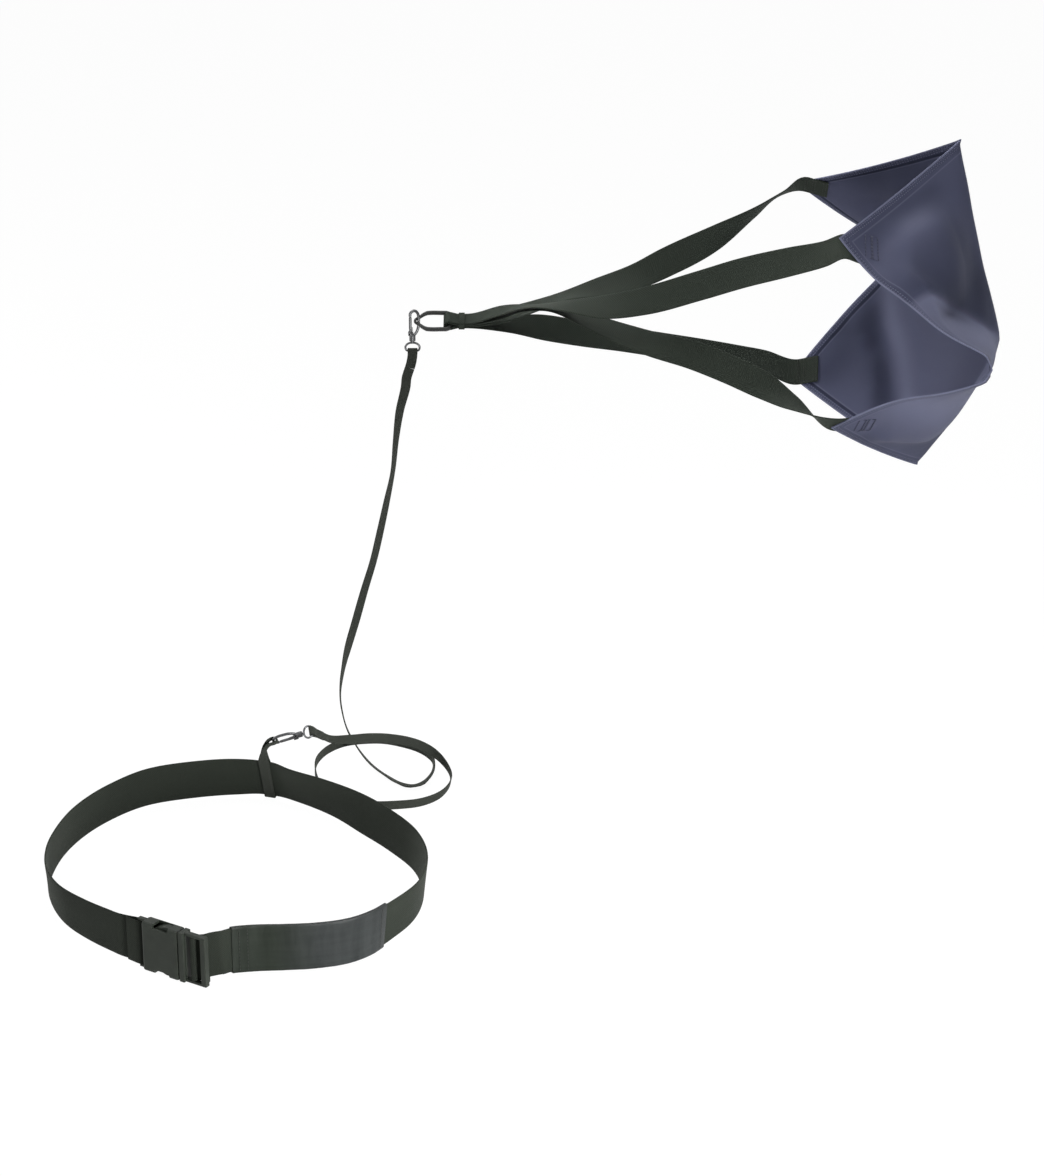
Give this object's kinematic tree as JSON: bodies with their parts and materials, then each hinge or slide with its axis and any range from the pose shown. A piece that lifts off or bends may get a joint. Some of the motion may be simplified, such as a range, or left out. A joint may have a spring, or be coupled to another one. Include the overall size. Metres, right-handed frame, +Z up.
{
  "type": "swim parachute",
  "caption": "Swim training parachute: buckled waist belt, webbing tether with swivel snap hooks, and a square drag chute on four straps.",
  "frame": {"origin": "centre of the belt's loop, at half the height of its webbing", "axes": "+Z up along the swimmer's waist, +Y towards the back of the belt where the tether leaves it, +X towards the chute"},
  "size_m": [0.9577, 0.6451, 0.6982],
  "materials": {
    "webbing": "matt woven webbing",
    "satin": "satin woven cloth",
    "black_plastic": "moulded, matt",
    "gunmetal": "dark plated metal, satin",
    "navy_sheet": "coated cloth, satin"
  },
  "bodies": {
    "belt": {"belt_webbing": "webbing", "belt_adjuster_webbing": "webbing", "belt_sleeve": "satin", "buckle_female": "black_plastic", "keeper_loop": "webbing", "lower_hook_body": "gunmetal", "lower_gate_pin": "gunmetal", "lower_gate_spring": "gunmetal", "tether_strap": "webbing", "tether_upper_loop": "webbing", "upper_hook_eye": "gunmetal"},
    "buckle_male": {"buckle_male": "black_plastic"},
    "prong_upper": {"buckle_prong_upper": "black_plastic"},
    "prong_lower": {"buckle_prong_lower": "black_plastic"},
    "lower_gate": {"lower_hook_gate": "gunmetal"},
    "lower_eye": {"lower_hook_eye": "gunmetal", "tether_lower_loop": "webbing"},
    "upper_hook": {"upper_hook_body": "gunmetal", "upper_gate_pin": "gunmetal", "upper_gate_spring": "gunmetal"},
    "upper_gate": {"upper_hook_gate": "gunmetal"},
    "chute": {"strap_ring": "black_plastic", "chute_strap_outer": "webbing", "chute_strap_inner": "webbing", "strap_tack": "webbing", "chute_canopy": "navy_sheet"}
  },
  "joints": [
    {"name": "buckle_release", "type": "slide", "parent": "belt", "child": "buckle_male", "axis": [0.848, -0.5299, 0], "range_m": [0, 0.042], "deforming": ["belt_adjuster_webbing", "buckle_prong_upper", "buckle_prong_lower"]},
    {"name": "prong_upper_flex", "type": "hinge", "parent": "buckle_male", "child": "prong_upper", "pos_m": [-0.03642, -0.18755, 0.0192], "axis": [-0.5299, -0.848, 0], "range_deg": [0, 10], "stiffness_Nm_per_rad": 0.02},
    {"name": "prong_lower_flex", "type": "hinge", "parent": "buckle_male", "child": "prong_lower", "pos_m": [-0.03642, -0.18755, -0.0152], "axis": [0.5299, 0.848, 0], "range_deg": [0, 10], "stiffness_Nm_per_rad": 0.02},
    {"name": "lower_gate_hinge", "type": "hinge", "parent": "belt", "child": "lower_gate", "pos_m": [0.04562, 0.1959, 0.05109], "axis": [-0.1551, 0.866, 0.4753], "range_deg": [0, 15], "stiffness_Nm_per_rad": 0.01, "springref_deg": -11.46, "deforming": ["lower_gate_spring"]},
    {"name": "lower_swivel", "type": "hinge", "parent": "belt", "child": "lower_eye", "pos_m": [0.0535, 0.195, 0.0553], "axis": [-0.9507, 0, -0.3102], "range_deg": [-25, 25], "deforming": ["tether_strap"]},
    {"name": "upper_swivel", "type": "hinge", "parent": "belt", "child": "upper_hook", "pos_m": [0.1737, 0.24, 0.4727], "axis": [0, 0, 1], "continuous": true},
    {"name": "upper_gate_hinge", "type": "hinge", "parent": "upper_hook", "child": "upper_gate", "pos_m": [0.17214, 0.2391, 0.4815], "axis": [-0.5, 0.866, 0], "range_deg": [0, 15], "stiffness_Nm_per_rad": 0.01, "springref_deg": -11.46, "deforming": ["upper_gate_spring"]},
    {"name": "ring_tilt", "type": "hinge", "parent": "upper_hook", "child": "chute", "pos_m": [0.17696, 0.2437, 0.4927], "axis": [0, 0.894, 0.448], "range_deg": [-15, 0]}
  ]
}
